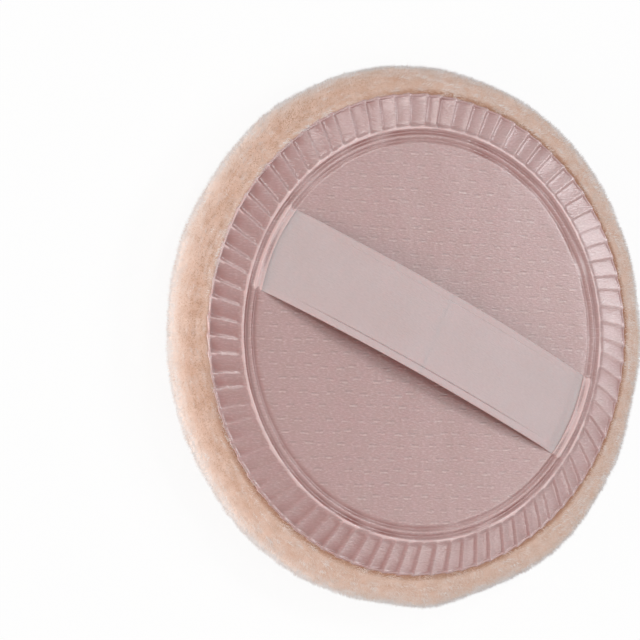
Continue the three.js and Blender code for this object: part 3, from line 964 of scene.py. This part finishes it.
def band_half(name, side, end_node):
    """Half of the ribbon, from the middle of the bow to the end that the ring holds."""
    section = band_section()
    across, rise, crease = section.T
    end = np.sqrt(BAND_END_RADIUS**2 - across**2)
    stations = []
    for share in np.linspace(0, 1, BAND_STATIONS):
        along = share * end
        radius = np.hypot(along, across)
        bow = BAND_FOOT + (BAND_CREST - BAND_FOOT) * (1 - (along / FIELD_RADIUS) ** 2)
        flat = np.stack([side * along, across, np.zeros(len(across))], 1)
        pressed = back_height(radius) + BAND_SKIN - TUCK_DIVE * ramp(radius, TUCK_END, TUCK_END + 0.5 * MM)
        tuck = ramp(radius, TUCK_START, TUCK_END)
        folded = rise - crease * (1 - 0.85 * ramp(along, 13 * MM, 25 * MM))
        height = bow * (1 - tuck) + pressed * tuck + folded * (1 - 0.4 * tuck)
        height = height + 0.05 * MM * uneven(flat, 14 * MM, 91) * (1 - tuck)
        stations.append(np.stack([side * along, across, height], 1))
    count = len(section)
    points = np.concatenate(stations)
    faces = []
    for station in range(BAND_STATIONS - 1):
        for step in range(count):
            a, b = station * count + step, station * count + (step + 1) % count
            faces.append((a, b, b + count, a + count)[::side])
    last = (BAND_STATIONS - 1) * count
    for start, way in ((0, -side), (last, side)):
        for step in range(count // 2 - 1):
            back = count - 1 - step
            faces.append((start + step, start + step + 1, start + back - 1, start + back)[::way])
    half = new_piece(name, points, faces)
    sharp = half.data.attributes.new("sharp_edge", "BOOLEAN", "EDGE")
    pairs = [edge.vertices for edge in half.data.edges]
    sharp.data.foreach_set("value", [max(pair) < count or min(pair) >= last for pair in pairs])
    half.data.materials.append(ribbon_satin)
    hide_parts(end_node, "band_middle")
    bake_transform(half)


ribbon_satin = satin_finish(
    "pale satin ribbon",
    turn=0.0,
    floats=0.0,
    grain=0.07,
    shade=dyed(197, 177, 177),
    second_shade=dyed(193, 172, 171),
    patch=9 * MM,
    roughness=0.48,
    gloss=0.45,
    see_through=0.4,
)
band_half("band_left", -1, "band_end_left")
band_half("band_right", 1, "band_end_right")


# Floor, light and camera: a plain white sweep under soft studio lamps, seen from the photographed angle.
PICTURE_WIDTH = 640
FOCAL_PIXELS = 3144
SENSOR_WIDTH = 36
VIEW_AZIMUTH = math.radians(-61.56)
VIEW_ELEVATION = math.radians(61.45)
VIEW_ROLL = math.radians(87.71)
VIEW_DISTANCE = 464 * MM
VIEW_CENTRE = Vector((0, 0, 9 * MM))
AIM_RIGHT = -15.3 * MM
AIM_UP = 2.1 * MM
FLOOR_SIZE = 3.0
FLOOR_GLOW = 0.9
LAMP_DISTANCE = 0.9
WORLD_LIGHT = 0.545

scene = bpy.context.scene
level_right = Vector((math.cos(VIEW_AZIMUTH), math.sin(VIEW_AZIMUTH), 0))
to_camera = Vector((
    math.sin(VIEW_AZIMUTH) * math.cos(VIEW_ELEVATION),
    -math.cos(VIEW_AZIMUTH) * math.cos(VIEW_ELEVATION),
    math.sin(VIEW_ELEVATION),
))
level_up = to_camera.cross(level_right)
picture_right = math.cos(VIEW_ROLL) * level_right + math.sin(VIEW_ROLL) * level_up
picture_up = math.cos(VIEW_ROLL) * level_up - math.sin(VIEW_ROLL) * level_right
camera = bpy.data.objects.new("camera", bpy.data.cameras.new("camera"))
camera.data.sensor_width = SENSOR_WIDTH
camera.data.lens = FOCAL_PIXELS / PICTURE_WIDTH * SENSOR_WIDTH
stand = VIEW_CENTRE + AIM_RIGHT * picture_right + AIM_UP * picture_up + VIEW_DISTANCE * to_camera
facing = Matrix((picture_right, picture_up, to_camera)).transposed().to_4x4()
camera.matrix_world = Matrix.Translation(stand) @ facing
scene.collection.objects.link(camera)
scene.camera = camera
scene.view_settings.view_transform = "Standard"


def seen_directly(tree):
    """1 where the camera, a reflection or a see-through surface looks, and 0 for light that only bounces."""
    path = put(tree, "ShaderNodeLightPath", {}).outputs
    either = sums(tree, "MAXIMUM", path["Is Camera Ray"], path["Is Glossy Ray"])
    return sums(tree, "MAXIMUM", either, path["Is Transmission Ray"])


def floor_finish():
    finish, tree, shader = new_finish("white floor", Roughness=0.9, Specular_IOR_Level=0.1)
    shader.inputs["Base Color"].default_value = (0.95, 0.95, 0.95, 1)
    glow = put(tree, "ShaderNodeEmission", {"Color": (1, 1, 1, 1), "Strength": 1.0})
    share = sums(tree, "MULTIPLY", seen_directly(tree), FLOOR_GLOW)
    both = put(tree, "ShaderNodeMixShader", {0: share, 1: shader.outputs[0], 2: glow.outputs[0]})
    tree.links.new(both.outputs[0], tree.nodes["Material Output"].inputs["Surface"])
    return finish


half_floor = FLOOR_SIZE / 2
floor_corners = [(x, y, 0) for x, y in ((-1, -1), (1, -1), (1, 1), (-1, 1))]
floor = new_piece("floor", np.array(floor_corners) * half_floor, [(0, 1, 2, 3)])
floor.data.materials.append(floor_finish())

world = bpy.data.worlds.new("studio")
scene.world = world
world.use_nodes = True
sky = world.node_tree.nodes["Background"]
sky.inputs["Color"].default_value = (1, 1, 1, 1)
lift = {0: seen_directly(world.node_tree), 1: 1 - WORLD_LIGHT, 2: WORLD_LIGHT}
level = put(world.node_tree, "ShaderNodeMath", lift, operation="MULTIPLY_ADD").outputs[0]
world.node_tree.links.new(level, sky.inputs["Strength"])


def soft_lamp(name, right, up, towards, size, level, colour):
    """A square lamp placed by the picture's axes. Its level is the share of full white it gives face on."""
    lamp = bpy.data.objects.new(name, bpy.data.lights.new(name, "AREA"))
    way = (right * picture_right + up * picture_up + towards * to_camera).normalized()
    lamp.location = VIEW_CENTRE + LAMP_DISTANCE * way
    lamp.rotation_euler = way.to_track_quat("Z", "Y").to_euler()
    lamp.data.size = size
    lamp.data.energy = level * math.pi**2 * LAMP_DISTANCE**2
    lamp.data.color = colour
    scene.collection.objects.link(lamp)


soft_lamp("right_key", 0.958, 0.195, 0.21, 0.26, 0.18, (0.97, 0.97, 1))
soft_lamp("upper_key", 0.59, 0.52, 0.61, 0.16, 0.12, (1, 0.99, 0.98))
soft_lamp("low_key", 0.906, -0.277, 0.32, 0.16, 0.075, (1, 0.99, 0.98))
soft_lamp("low_fill", -0.35, -0.5, 0.79, 0.6, 0.15, (1, 0.94, 0.92))
soft_lamp("left_fill", -0.8, -0.12, 0.58, 0.4, 0.54, (1, 0.91, 0.84))
